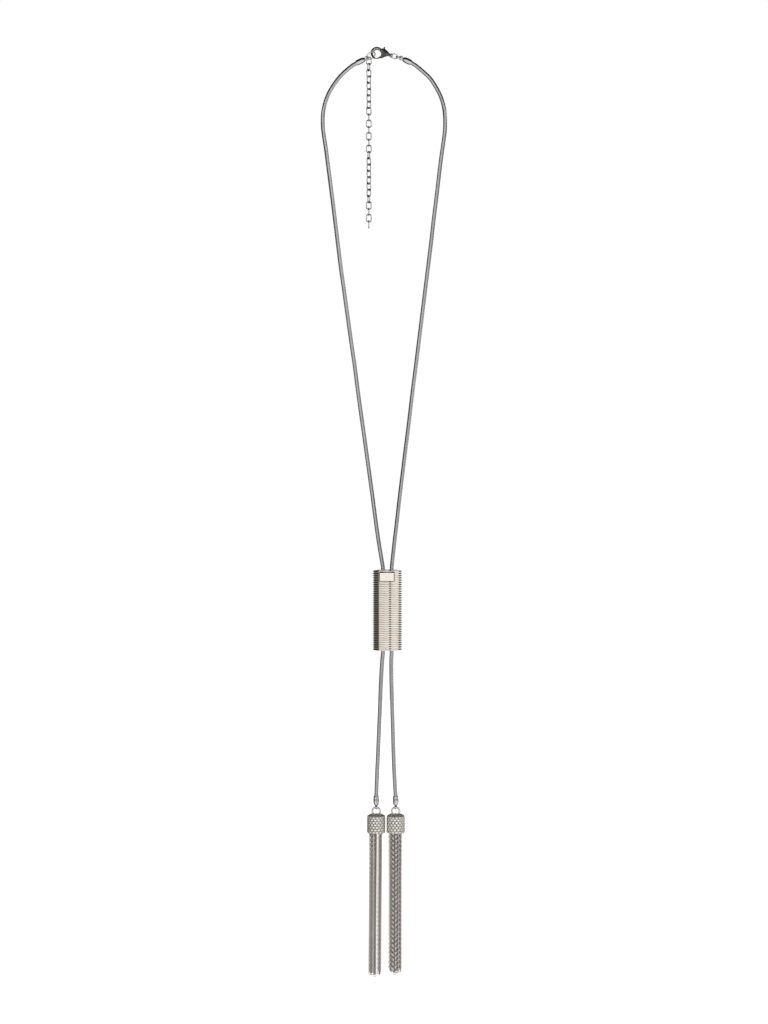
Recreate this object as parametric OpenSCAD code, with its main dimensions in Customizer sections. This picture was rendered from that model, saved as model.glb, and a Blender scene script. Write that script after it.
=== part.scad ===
/* [Snake chain] */
// Diameter of the round snake chain
chain_d = 2.1; // [1.8:0.1:2.2]

/* [Slider] */
// Height of the ribbed slider tube
slider_h = 42; // [38:1:43]
// Diameter over the slider's ribs
slider_d = 15.4; // [14:0.2:17]
// Number of ribs round the slider
slider_ribs = 36; // [24:1:40]
// Depth of the groove between two ribs
groove_depth = 0.5; // [0.3:0.05:0.7]
// Width of the plaque on the slider's front
plaque_w = 8.1; // [6:0.1:9]
// Height of the plaque on the slider's front
plaque_h = 4.5; // [3:0.1:6]

/* [Crimp ends] */
// Outer diameter of a crimp's folded barrel
crimp_d = 3.4; // [3.2:0.1:3.8]
// Length from a crimp's mouth to the middle of its loop
crimp_len = 6; // [5.6:0.1:6.4]

/* [Clasp] */
// Thickness of the clasp's body
clasp_t = 2.6; // [2.4:0.1:3]
// Wire of the jump rings
ring_wire = 0.6; // [0.5:0.05:0.65]

/* [Extender chain] */
// Number of links that hang from the extender ring
extender_links = 27; // [10:1:27]
// Wire of an extender link
link_wire = 0.6; // [0.45:0.05:0.6]
// Outer width of an extender link
link_w = 3.1; // [2.9:0.1:3.2]
// Drop from one link to the next
link_pitch = 3.3; // [3.2:0.05:3.4]

/* [Tassels] */
// Diameter of a tassel cap over its grains
cap_d = 9.9; // [9.5:0.1:9.9]
// Height of a tassel cap
cap_h = 9.4; // [9:0.1:10]
// Grains in each row round a cap
cap_grains = 18; // [12:1:18]
// Rows of grains on a cap
cap_rows = 6; // [4:1:6]
// Length of the chains that hang below a cap
fringe_len = 74.5; // [50:0.5:90]
// Diameter of a bundle of tassel chains
fringe_d = 7; // [6:0.1:7]
// Strips that stand for the outer chains of a bundle
fringe_strips = 9; // [7:1:10]

/* [Hidden] */

$fn = 48;
SILVER = "#c9c6c2";
DARK_SILVER = "#8a8783";
OVER = 0.5;

// Places of the hanging necklace: x to the right, z up, from the point where it hangs at the nape
slider_top = -268.8;
slider_x = 1.73;
bore_x = 2.3;
cap_top = -397.4;
left_x = -4.1;
right_x = 6.13;

// Slider's tube, its end plates and the bores that the chain runs through
wall = 1.5;
plate_t = 2;
plate_recess = 0.6;
bore_gap = 0.15;
bore_r = chain_d / 2 + bore_gap;
rib_pitch = slider_h / slider_ribs;
groove_w = rib_pitch * 0.36;
rib_edge = 0.16;
plaque_shift = -0.45;
plaque_drop = 1.4;
plaque_proud = 0.35;
plaque_root = 2;

// Crimp: a barrel with a seam, a taper and a flat loop
loop_hole_r = 0.75;
loop_wall = 0.5;
loop_r = loop_hole_r + loop_wall;
loop_t = 0.8;
barrel_len = crimp_len - 1.8;
crimp_bore_r = chain_d / 2 + 0.12;
crimp_bore = barrel_len - 0.6;
seam_w = 0.22;
top_slope = 25;
top_left_loop = [-9.08, 0, -0.15];
top_right_loop = [8.95, 0, 0];
bottom_loop_z = cap_top + 4;

// Clasp in its own plane: x along it towards the eye, y up, from the middle of its hook
clasp_place = [-3.8, 0, 2.68];
clasp_tilt = 10.6;
hook_r = 3.25;
hook_hole_r = 2.25;
hook_hole_at = [0.3, -0.35];
hook_t = 1.5;
edge_cut = 0.2;
pivot = [3.25, -0.85];
pivot_r = 0.45;
pivot_gap = 0.05;
rivet_r = 0.65;
rivet_proud = 0.1;
lever_t = 0.8;
lever_r = [2.45, 3.15];
lever_hub_r = 0.75;
slot_w = lever_t + 0.2;
mouth_from = [0.15, -3.25];
mouth_slant = 129.8;
mouth_gap = 0.2;
knob_at = [3.45, 3.4];
knob_r = 0.45;
eye_at = [7.6, 0.1];
eye_r = 1.05;
eye_hole_r = 0.65;
eye_t = 0.8;
body_outline = [
    [1.6, 2.5], [2.6, 2.85], [3.3, 2.8], [4.4, 2.3], [5.6, 1.6], [7, 0.85], [7.6, 0.6],
    [7.6, -0.4], [6.2, -0.45], [5, -0.85], [4.2, -1.6], [3.6, -2.3], [2.9, -2.5], [1.9, -2.3]
];
slot_outline = [
    [1.4, -3.4], [3.9, -3.4], [4.1, -0.9], [5.7, 2.6], [5.2, 3.6], [2.95, 3.6], [2.95, 1.3],
    [2.3, 0.7], [1.4, 0.7]
];

// Jump rings, one row each: centre, radius of the wire's middle, tilt across the front, roll about its length
RING_AT = 0;
RING_R = 1;
RING_TILT = 2;
RING_ROLL = 3;
clasp_ring_row = [[5.38, 0, 0.93], 1.75, -15, 60];
crimp_ring_row = [[7.7, 0, 0.32], 1.4, -15, -60];
extender_ring_row = [[-6.87, 0, 1.27], 2.47, 33.6, 60];

// Extender chain's place, and its slow twist, one row each: link, degrees
extender_at = [-7.95, -1.3, -1.75];
link_gap = 0.11;
link_len = link_pitch + 2 * link_wire + link_gap;
twist_marks = [[0, 0], [1, 0], [3, 45], [7, 45], [9, 0], [14, 0], [16, 45], [21, 45], [23, 90], [26, 90]];

// Tassel cap: a cup with raised grains and the ring on its top
grain_r = 0.7;
grain_proud = 0.36;
cap_r = cap_d / 2 - grain_proud;
cap_shoulder = 1.3;
shoulder_inset = 0.75;
shoulder_fewer = 3;
cup_r = cap_r - 0.9;
cup_top = 1.6;
tassel_wire = 1.1;
tassel_ring_r = 2.02;
ring_top_drop = 0.06;
tassel_ring_z = bottom_loop_z - ring_top_drop - tassel_ring_r;

// Tassel fringe: a head inside the cup and strips below it, each strip's own drop in a short list
head_gap = 0.2;
head_r = cup_r - head_gap;
strip_r = 1.1;
strip_drops = [0, 0.7, 0.3, 1.1, 0.4, 0.9, 0.1, 0.6, 0.2, 0.5];
fringe_core_r = fringe_d / 2 - strip_r;
left_lean = 0.5;
right_lean = 0.2;
right_lift = 1.3;

// Routes of the two chains, chosen by hand along the photo: x and z at y = 0
left_bore = slider_x - bore_x;
right_bore = slider_x + bore_x;
left_route = [
    [-11.5, -1.28], [-14.5, -2.68], [-17, -4.2], [-20.5, -7.1], [-23.6, -10.3], [-26.2, -13.8],
    [-28.4, -17.3], [-30, -20.8], [-31.2, -24.6], [-32, -28.8], [-32.2, -33], [-32, -37.5],
    [-31.4, -42], [-30.6, -47], [-29.7, -54], [-28.4, -64], [-27, -75], [-25.7, -85.5], [-24.3, -97],
    [-22.7, -110], [-21, -122], [-19.2, -135], [-17.4, -148], [-15.5, -161], [-13.7, -175],
    [-11.7, -189.5], [-9.8, -203], [-8, -216], [-6.2, -229], [-4.5, -242], [-2.8, -254], [-1.3, -263],
    [left_bore, -268], [left_bore, -274], [left_bore, -290], [left_bore, -306], [left_bore, -312],
    [-1, -317], [-1.6, -327], [-2.1, -340], [-2.7, -354], [-3.3, -368], [-3.8, -379], [-4, -386],
    [-4.1, -388.5], [-4.1, -390.7]
];
right_route = [
    [11.4, -1.14], [14.4, -2.54], [17, -4.2], [20.5, -7.1], [23.9, -10.3], [26.4, -13.8], [28.4, -17.3],
    [30, -20.8], [31.2, -24.8], [31.9, -29], [32.1, -33], [32, -37.5], [31.5, -42], [30.8, -47],
    [29.8, -54], [28.6, -64], [27.3, -75], [26, -85.5], [24.7, -97], [23.1, -110], [21.6, -122],
    [20, -135], [18.4, -148], [16.8, -161], [15, -175], [13.3, -189.5], [11.6, -203], [10, -216],
    [8.4, -229], [6.9, -242], [5.5, -254], [4.5, -263], [right_bore, -268], [right_bore, -274],
    [right_bore, -290], [right_bore, -306], [right_bore, -312], [3.8, -317], [3.9, -327],
    [4.3, -340], [4.7, -354], [5.1, -368], [5.6, -379], [6, -386], [6.13, -388.5], [6.13, -390.7]
];
chain_sides = 8;

// Point a quarter, a half or any share t of the way from b to c on a smooth curve through a, b, c, d
function curve_point(a, b, c, d, t) =
    0.5 * (2 * b + (c - a) * t + (2 * a - 5 * b + 4 * c - d) * t * t + (3 * b - a - 3 * c + d) * t * t * t);

// The route with one more point between each two, so that the tube has a ring every few diameters
function smooth_route(p) = [
    for (i = [0:len(p) - 2], t = [0, 0.5])
        curve_point(p[max(i - 1, 0)], p[i], p[i + 1], p[min(i + 2, len(p) - 1)], t),
    p[len(p) - 1]
];

// Direction of a route at point i, in the plane of the loop
function route_dir(p, i) =
    let (d = p[min(i + 1, len(p) - 1)] - p[max(i - 1, 0)]) d / norm(d);

// A tube swept along a route: one ring of points at each route point, then two flat ends
module swept_tube(route, diameter, sides) {
    r = diameter / 2;
    n = len(route);
    points = [
        for (i = [0:n - 1], k = [0:sides - 1])
            let (d = route_dir(route, i), a = 360 * (k + 0.5) / sides, side = r * cos(a))
            [route[i][0] - d[1] * side, r * sin(a), route[i][1] + d[0] * side]
    ];
    walls = [
        for (i = [0:n - 2], k = [0:sides - 1])
            let (m = (k + 1) % sides)
            [i * sides + k, i * sides + m, (i + 1) * sides + m, (i + 1) * sides + k]
    ];
    start = [for (k = [sides - 1:-1:0]) k];
    end = [for (k = [0:sides - 1]) (n - 1) * sides + k];
    polyhedron(points, concat([start], walls, [end]));
}

// Slider's outline from its bottom up: a rib, a groove, a rib and so on
function rib_profile() = [
    for (i = [0:slider_ribs - 1])
        let (z = -slider_h + i * rib_pitch, r = slider_d / 2, g = groove_w / 2)
        each [
            [r - groove_depth, z], [r - groove_depth, z + g], [r - rib_edge, z + g],
            [r, z + g + rib_edge], [r, z + rib_pitch - g - rib_edge],
            [r - rib_edge, z + rib_pitch - g], [r - groove_depth, z + rib_pitch - g]
        ],
    [slider_d / 2 - groove_depth, 0]
];

module slider() {
    inner_r = slider_d / 2 - wall;
    plate_z = [-plate_recess - plate_t, -slider_h + plate_recess];
    color(SILVER) translate([slider_x, 0, slider_top]) difference() {
        union() {
            rotate_extrude() polygon(concat([[inner_r, 0], [inner_r, -slider_h]], rib_profile()));
            for (z = plate_z) translate([0, 0, z]) cylinder(r = inner_r + OVER, h = plate_t);
            plaque();
        }
        for (side = [-1, 1]) translate([side * bore_x, 0, -slider_h - OVER])
            cylinder(r = bore_r, h = slider_h + 2 * OVER);
    }
}

module plaque() {
    front = slider_d / 2 + plaque_proud;
    translate([plaque_shift - plaque_w / 2, -front, -plaque_drop - plaque_h])
        cube([plaque_w, plaque_root, plaque_h]);
}

// A crimp with its loop's middle at the origin and its mouth straight above
module crimp(turn) {
    barrel_r = crimp_d / 2;
    mouth = crimp_len;
    rotate([0, 0, turn]) difference() {
        union() {
            translate([0, 0, mouth - barrel_len]) cylinder(r = barrel_r, h = barrel_len);
            translate([0, 0, mouth - barrel_len - 0.9]) cylinder(r1 = 0.7, r2 = barrel_r, h = 0.9);
            rotate([90, 0, 0]) cylinder(r = loop_r, h = loop_t, center = true);
        }
        translate([0, 0, mouth - crimp_bore]) cylinder(r = crimp_bore_r, h = crimp_bore + OVER);
        rotate([90, 0, 0]) cylinder(r = loop_hole_r, h = loop_t + 2 * OVER, center = true);
        translate([-seam_w / 2, -barrel_r - OVER, mouth - barrel_len])
            cube([seam_w, OVER + barrel_r - crimp_bore_r + 0.15, barrel_len + OVER]);
    }
}

module crimp_top_left() color(SILVER)
    translate(top_left_loop) rotate([0, -90 - top_slope, 0]) crimp(0);

module crimp_top_right() color(SILVER)
    translate(top_right_loop) rotate([0, 90 + top_slope, 0]) crimp(0);

module crimp_bottom_left() color(SILVER) translate([left_x, 0, bottom_loop_z]) crimp(90);

module crimp_bottom_right() color(SILVER) translate([right_x, 0, bottom_loop_z]) crimp(90);

// Turns the clasp's own plane into the necklace's and puts it in its place
module in_clasp_place() translate(clasp_place) rotate([0, clasp_tilt, 0]) rotate([90, 0, 0]) children();

// A plate of the given thickness, centred in the clasp's plane
module plate(thickness) translate([0, 0, -thickness / 2]) linear_extrude(thickness) children();

// Everything on the body's side of the slanted mouth, moved by a gap
module beyond_mouth(gap) {
    reach = 12;
    translate(mouth_from) rotate(mouth_slant - 180) translate([-reach, gap]) square([2 * reach, reach]);
}

// The hook's ring with its mouth cut away, drawn in by a cut for the bevelled edge
module hook_outline(cut) difference() {
    circle(r = hook_r - cut);
    intersection() {
        beyond_mouth(0);
        polygon([[-4, -4], [4.5, -4], [2.4, -1.5], [-4, -1.5]]);
    }
}

module clasp_body() color(DARK_SILVER) in_clasp_place() {
    bevel_z = hook_t / 2 - edge_cut;
    difference() {
        union() {
            plate(2 * bevel_z) hook_outline(0);
            plate(hook_t) hook_outline(edge_cut);
            plate(clasp_t) polygon(body_outline);
            plate(eye_t) translate(eye_at) circle(r = eye_r);
            translate(pivot) cylinder(r = rivet_r, h = clasp_t + 2 * rivet_proud, center = true);
        }
        translate(hook_hole_at) cylinder(r = hook_hole_r, h = 2 * clasp_t, center = true);
        for (side = [-1, 1]) translate(concat(hook_hole_at, side * (bevel_z + clasp_t)))
            cylinder(r = hook_hole_r + edge_cut, h = 2 * clasp_t, center = true);
        plate(slot_w) polygon(slot_outline);
        translate(eye_at) cylinder(r = eye_hole_r, h = 2 * clasp_t, center = true);
    }
    translate(pivot) cylinder(r = pivot_r, h = clasp_t, center = true);
}

module clasp_lever() color(DARK_SILVER) in_clasp_place() difference() {
    union() {
        plate(lever_t) {
            intersection() {
                difference() {
                    circle(r = lever_r[1]);
                    circle(r = lever_r[0]);
                }
                beyond_mouth(mouth_gap);
                polygon([[-3, -4], [3.5, -4], [2.6, -1.2], [0, -1.2]]);
            }
            polygon([[1.75, -1.75], [2.2, -2.2], [3.5, -1.55], [3.4, -0.3], [2.75, -0.4]]);
            translate(pivot) circle(r = lever_hub_r);
            polygon([[2.8, -0.4], [3.8, -0.4], [3.85, 1.5], [3.8, 3.1], [3.1, 3.1], [3.1, 1.5]]);
        }
        translate(knob_at) cylinder(r = knob_r, h = 1.2, center = true);
    }
    translate(pivot) cylinder(r = pivot_r + pivot_gap, h = 2 * lever_t, center = true);
}

// A round ring of wire about the z axis
module wire_ring(radius, wire) rotate_extrude() translate([radius, 0]) circle(d = wire, $fn = 24);

// A round jump ring from its row of the table above
module jump_ring(row) color(SILVER) translate(row[RING_AT]) rotate([0, -row[RING_TILT], 0])
    rotate([90 + row[RING_ROLL], 0, 0]) wire_ring(row[RING_R], ring_wire);

module clasp_ring() jump_ring(clasp_ring_row);
module crimp_ring() jump_ring(crimp_ring_row);
module extender_ring() jump_ring(extender_ring_row);

// One long round-ended link, upright in the plane x-z
module link() {
    bend = (link_w - link_wire) / 2;
    straight = link_len - link_w;
    for (end = [-1, 1]) translate([0, 0, end * straight / 2]) rotate([end * 90, 0, 0])
        rotate_extrude(angle = 180) translate([bend, 0]) circle(d = link_wire, $fn = 24);
    for (side = [-1, 1]) translate([side * bend, 0, 0])
        cylinder(d = link_wire, h = straight, center = true, $fn = 24);
}

module extender_chain() color(DARK_SILVER) translate(extender_at)
    for (i = [0:extender_links - 1]) translate([0, 0, -i * link_pitch])
        rotate([0, 0, 90 * (i % 2) + lookup(i, twist_marks)]) link();

module snake_chain_left() color(SILVER) swept_tube(smooth_route(left_route), chain_d, chain_sides);

module snake_chain_right() color(SILVER) swept_tube(smooth_route(right_route), chain_d, chain_sides);

// Grains in rows round the cap, the first row on the shoulder, each turned by half a grain against the last
module grains() {
    row_h = (cap_h - 2 * grain_r) / (cap_rows - 1);
    for (row = [0:cap_rows - 1]) {
        count = row == 0 ? cap_grains - shoulder_fewer : cap_grains;
        inset = row == 0 ? shoulder_inset : 0;
        for (k = [0:count - 1]) rotate([0, 0, 360 * (k + 0.5 * (row % 2)) / count])
            translate([cap_r + grain_proud - grain_r - inset, 0, -grain_r - row * row_h])
                sphere(r = grain_r, $fn = 24);
    }
}

module tassel_cap(x) color(SILVER) translate([x, 0, 0]) {
    translate([0, 0, cap_top]) difference() {
        union() {
            rotate_extrude() polygon([
                [0, 0], [cap_r - cap_shoulder, 0], [cap_r, -cap_shoulder], [cap_r, -cap_h], [0, -cap_h]
            ]);
            grains();
        }
        translate([0, 0, -cap_h - OVER]) cylinder(r = cup_r, h = cap_h - cup_top + OVER);
    }
    translate([0, 0, tassel_ring_z]) rotate([90, 0, 0]) wire_ring(tassel_ring_r, tassel_wire);
}

module tassel_cap_left() tassel_cap(left_x);
module tassel_cap_right() tassel_cap(right_x);

// A head in the cup, and strips side by side that stand for the hanging chains
module tassel_fringe(x, lean, lift) color(DARK_SILVER) translate([x, 0, cap_top - cap_h]) {
    head_h = cap_h - cup_top - head_gap;
    cylinder(r = head_r, h = head_h);
    rotate([0, lean, 0]) {
        translate([0, 0, -fringe_len + lift]) cylinder(r = fringe_core_r, h = fringe_len - lift + OVER);
        for (k = [0:fringe_strips - 1]) rotate([0, 0, 360 * k / fringe_strips])
            translate([fringe_d / 2 - strip_r, 0, -fringe_len + lift + strip_drops[k] - OVER])
                cylinder(r = strip_r, h = fringe_len - lift - strip_drops[k] + 2 * OVER, $fn = 24);
    }
}

module tassel_fringe_left() tassel_fringe(left_x, left_lean, 0);
module tassel_fringe_right() tassel_fringe(right_x, right_lean, right_lift);

clasp_body();
clasp_lever();
clasp_ring();
crimp_ring();
extender_ring();
extender_chain();
crimp_top_left();
crimp_top_right();
snake_chain_left();
snake_chain_right();
slider();
crimp_bottom_left();
crimp_bottom_right();
tassel_cap_left();
tassel_cap_right();
tassel_fringe_left();
tassel_fringe_right();
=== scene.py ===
"""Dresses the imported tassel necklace: its chains, slider, caps, crimps, clasp and rings."""

import math

import bpy
from mathutils import Matrix, Vector


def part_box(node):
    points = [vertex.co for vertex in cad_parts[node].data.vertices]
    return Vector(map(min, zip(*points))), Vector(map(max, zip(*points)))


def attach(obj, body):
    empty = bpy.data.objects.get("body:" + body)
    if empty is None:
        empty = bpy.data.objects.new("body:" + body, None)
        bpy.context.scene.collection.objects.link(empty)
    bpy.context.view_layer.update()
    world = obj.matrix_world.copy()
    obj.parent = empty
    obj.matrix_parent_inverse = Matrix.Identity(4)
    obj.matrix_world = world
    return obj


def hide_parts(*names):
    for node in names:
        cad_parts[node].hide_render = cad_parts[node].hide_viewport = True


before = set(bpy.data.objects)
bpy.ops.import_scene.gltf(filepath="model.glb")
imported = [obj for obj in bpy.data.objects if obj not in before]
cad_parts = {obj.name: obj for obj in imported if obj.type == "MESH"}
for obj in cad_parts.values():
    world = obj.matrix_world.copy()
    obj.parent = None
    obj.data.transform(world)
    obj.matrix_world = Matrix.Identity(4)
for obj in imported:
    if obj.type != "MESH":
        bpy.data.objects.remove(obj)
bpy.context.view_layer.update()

bl_info = {
    "name": "Tassel necklace",
    "version": (1, 0, 0),
    "blender": (4, 5, 0),
    "location": "3D View > Sidebar > Necklace",
    "description": "Models the chains, slider, tassels and findings of a long necklace",
    "category": "Add Mesh",
}

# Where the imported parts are
SLIDER_LOW, SLIDER_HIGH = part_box("slider")
CAP_BOXES = {side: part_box(f"tassel_cap_{side}") for side in ("left", "right")}
FRINGE_BOXES = {side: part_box(f"tassel_fringe_{side}") for side in ("left", "right")}
MERGE = 1e-6
FULL_TURN = math.tau

# Turns that lay a primitive's axis along y, and along x
ALONG_Y = (math.pi / 2, 0, 0)
ALONG_X = (0, math.pi / 2, 0)

# Steps round or along what is turned, cast or bent
CURVE_STEPS = 24
SNAKE_SIDES = 16
SLIDER_STEPS = 96
CRIMP_STEPS = 40
CAP_STEPS = 72

# Small cuts that break an edge, and the slope of the plaque's chamfer
RIM_CUT = 0.0001
FINE_BEVEL = 0.00006
PLAQUE_SLOPE = 0.7

# A band of snake chain: how far out its flat and its slope reach, and its slope's height
BAND_FLAT = 0.74
BAND_SLOPE = 0.86
BAND_SHOULDER = 0.996

# How dark the painted shade with patina gets in the snake chain's grooves and in the slider's,
# how dark the painted shade on the clasp's body and on its lever is, and over what depth it
# fades on the slider and its plaque
SNAKE_SHADE_AND_PATINA = 0.45
SLIDER_SHADE_AND_PATINA = 0.08
SLIDER_FADE = 0.0002
PLAQUE_FADE = 0.00002
CLASP_SHADE = 0.86
LEVER_SHADE = 0.9

# Routes of the two strands: x and z at y = 0
LEFT_BORE = -0.00057
RIGHT_BORE = 0.00403
LEFT_ROUTE = (
    (-0.0115, -0.00128), (-0.0145, -0.00268), (-0.017, -0.0042), (-0.0205, -0.0071),
    (-0.0236, -0.0103), (-0.0262, -0.0138), (-0.0284, -0.0173), (-0.03, -0.0208),
    (-0.0312, -0.0246), (-0.032, -0.0288), (-0.0322, -0.033), (-0.032, -0.0375), (-0.0314, -0.042),
    (-0.0306, -0.047), (-0.0297, -0.054), (-0.0284, -0.064), (-0.027, -0.075), (-0.0257, -0.0855),
    (-0.0243, -0.097), (-0.0227, -0.11), (-0.021, -0.122), (-0.0192, -0.135), (-0.0174, -0.148),
    (-0.0155, -0.161), (-0.0137, -0.175), (-0.0117, -0.1895), (-0.0098, -0.203), (-0.008, -0.216),
    (-0.0062, -0.229), (-0.0045, -0.242), (-0.0028, -0.254), (-0.0013, -0.263),
    (LEFT_BORE, -0.268), (LEFT_BORE, -0.274), (LEFT_BORE, -0.29), (LEFT_BORE, -0.306),
    (LEFT_BORE, -0.312), (-0.001, -0.317), (-0.0016, -0.327), (-0.0021, -0.34), (-0.0027, -0.354),
    (-0.0033, -0.368), (-0.0038, -0.379), (-0.004, -0.386), (-0.0041, -0.3885), (-0.0041, -0.3907),
)
RIGHT_ROUTE = (
    (0.0114, -0.00114), (0.0144, -0.00254), (0.017, -0.0042), (0.0205, -0.0071), (0.0239, -0.0103),
    (0.0264, -0.0138), (0.0284, -0.0173), (0.03, -0.0208), (0.0312, -0.0248), (0.0319, -0.029),
    (0.0321, -0.033), (0.032, -0.0375), (0.0315, -0.042), (0.0308, -0.047), (0.0298, -0.054),
    (0.0286, -0.064), (0.0273, -0.075), (0.026, -0.0855), (0.0247, -0.097), (0.0231, -0.11),
    (0.0216, -0.122), (0.02, -0.135), (0.0184, -0.148), (0.0168, -0.161), (0.015, -0.175),
    (0.0133, -0.1895), (0.0116, -0.203), (0.01, -0.216), (0.0084, -0.229), (0.0069, -0.242),
    (0.0055, -0.254), (0.0045, -0.263), (RIGHT_BORE, -0.268), (RIGHT_BORE, -0.274),
    (RIGHT_BORE, -0.29), (RIGHT_BORE, -0.306), (RIGHT_BORE, -0.312), (0.0038, -0.317),
    (0.0039, -0.327), (0.0043, -0.34), (0.0047, -0.354), (0.0051, -0.368), (0.0056, -0.379),
    (0.006, -0.386), (0.00613, -0.3885), (0.00613, -0.3907),
)

# Crimps, one row each: name, middle of the loop, turn about y, turn about its own length,
# where the seam lies round the barrel and how far it slants, in degrees
CRIMPS = (
    ("crimp_top_left", (-0.00908, 0, -0.00015), 155, 0, 190, 20),
    ("crimp_top_right", (0.00895, 0, 0), 25, 0, 190, -20),
    ("crimp_bottom_left", (-0.0041, 0, -0.3934), -90, 90, 80, 50),
    ("crimp_bottom_right", (0.00613, 0, -0.3934), -90, 90, 120, 75),
)

# Gap of a crimp's seam in degrees, and the wire of its loop with how far it tapers
SEAM_GAP = 9
LOOP_WIRE = 0.00025
LOOP_TAPER = 0.9

# Barrel of a crimp, from its shoulder to its mouth: distance from the loop's middle, radius
CRIMP_PROFILE = (
    (0.0010, 0.00076), (0.0013, 0.00102), (0.0018, 0.00128), (0.0024, 0.00144), (0.0030, 0.00149),
    (0.0042, 0.00147), (0.0053, 0.00145), (0.0058, 0.00139), (0.0060, 0.00132),
)

# Neck of a crimp as ellipses across it: distance, middle height, half height, half depth
CRIMP_NECK = (
    (0.00085, 0, 0.0004, 0.0006), (0.0011, 0, 0.00062, 0.00078), (0.0014, 0, 0.00086, 0.00094),
    (0.0018, 0, 0.00108, 0.00111), (0.0024, 0, 0.00116, 0.00116),
)

# Saw that cuts a jump ring open
SAW = (0.00003, 0.004, 0.001)

# Jump rings, one row each: node, centre, radius of the wire's middle, tilt and roll in degrees
RINGS = (
    ("clasp_ring", (0.00538, 0, 0.00093), 0.00175, -15, 60),
    ("crimp_ring", (0.0077, 0, 0.00032), 0.0014, -15, -60),
    ("extender_ring", (-0.00687, 0, 0.00127), 0.00247, 33.6, 60),
)

# Extender chain: its first link's middle, and its slow twist as rows of link and degrees
EXTENDER_AT = Vector((-0.00795, -0.0013, -0.00175))
TWIST_MARKS = (
    (0, 0), (1, 25), (3, 45), (7, 45), (9, 0), (14, 0), (16, 45), (21, 45), (23, 90), (26, 90),
)

# Room between two extender links, and how far from their touching ends the painted shade reaches
LINK_GAP = 0.00011
LINK_SHADE_REACH = 0.0005

# Clasp in its own plane, x towards the eye, from the middle of its hook
CLASP_PLACE = Vector((-0.0038, 0, 0.00268))
CLASP_TILT = 10.6
HOOK_HOLE_AT = Vector((0.0003, 0, -0.0005))
PIVOT = Vector((0.00325, 0, -0.00085))
KNOB_AT = Vector((0.00345, 0, 0.0034))
EYE_AT = Vector((0.0076, 0, 0.0001))
EYE_RADIUS = 0.00085
EYE_WIRE = 0.0002
KNOB_RADIUS = 0.00047
RIVET_RADIUS = 0.00045
RIVET_LENGTH = 0.0024
RIVET_HEAD = 0.0006
RIVET_HEAD_OUT = 0.0011
PIVOT_HOLE = 0.0005

# Slot for the lever: its middle, width and height, and how far its back leans out at the top
SLOT_AT = Vector((0.0029, 0, 0.0002))
SLOT_WIDTH = 0.0034
SLOT_HEIGHT = 0.008
SLOT_LEAN = 0.0014

# How far from its middle the hook's outer edge begins to take painted shade, and how wide an edge
# is
HOOK_SHADE_FROM = 0.0023
HOOK_SHADE_EDGE = 0.0002

# Clasp's body as ellipses across it, before its sides are cut flat: x, middle height,
# half height, half depth
CLASP_SIDE = 0.00122
CLASP_BODY_ROWS = (
    (0.00125, 0.0003, 0.0016, 0.0011), (0.0015, 0.00022, 0.0021, 0.0014),
    (0.002, 0.0002, 0.00252, 0.0017), (0.0027, 0.0003, 0.00267, 0.0018),
    (0.0034, 0.0005, 0.00258, 0.0018), (0.0042, 0.00066, 0.0021, 0.0016),
    (0.005, 0.00064, 0.00166, 0.0014), (0.0058, 0.00053, 0.0012, 0.0011),
    (0.0065, 0.0004, 0.0008, 0.0008), (0.0071, 0.00026, 0.0005, 0.0005),
    (0.0074, 0.00016, 0.0004, 0.0004),
)

# Lever: where its middle line runs, and its half thickness there
LEVER_ROWS = (
    (0.0002, -0.00286, 0.00028), (0.0011, -0.0026, 0.00034), (0.0017, -0.00225, 0.0004),
    (0.0023, -0.00175, 0.00048), (0.0029, -0.00115, 0.00058), (0.0033, -0.0006, 0.00058),
    (0.0034, 0.0004, 0.00045), (0.0034, 0.0016, 0.00036), (0.00342, 0.0026, 0.00032),
    (0.00345, 0.0033, 0.00032),
)

# Cup of a tassel cap: its wall, its top's thickness and the cut of its rim
CAP_WALL = 0.0006
CAP_TOP = 0.0016
CAP_RIM = 0.0002

# Grains round the cap's top, with their number, and on its shoulder: distance out, height,
# degrees that they tip up, size. Then how far down the rows on its side begin, how deep the
# side's grains and these reach into it, how the painted shade between grains fades up a grain,
# and the share of it that is left above the shoulder, where the top reads lighter.
TOP_GRAINS = (12, 0.0036, -0.0001, 30, 0.8)
SHOULDER_GRAINS = (0.00448, -0.0009, 8, 0.95)
FIRST_GRAINS = 0.002
SIDE_DEPTH = 0.0001
SHOULDER_DEPTH = 0.00035
GRAIN_SHADE = 0.9
GRAIN_FADE = 0.00014
SHOULDER_SHARE = 0.2

# Head inside the cap that the tassel's strands hang from, as rows of radius and height, how
# far it stands over their tops, and the share of the cap that they reach up into it
HEAD_PROFILE = (
    (0, 0), (0.0031, 0), (0.0033, -0.0002), (0.0033, -0.0008), (0.0031, -0.001), (0, -0.001),
)
HEAD_RISE = 0.0008
HEAD_DROP = 0.45

# Painted shade inside a tassel: how far out it reaches and how fast it gets there. And painted
# shade in the middle of a link, where it is cut off at 1, with what it loses by the link's rim
BUNDLE_REACH = 0.0018
BUNDLE_FADE = 0.001
LINK_MIDDLE = 1.3
LINK_LOSS = 2.2

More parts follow.
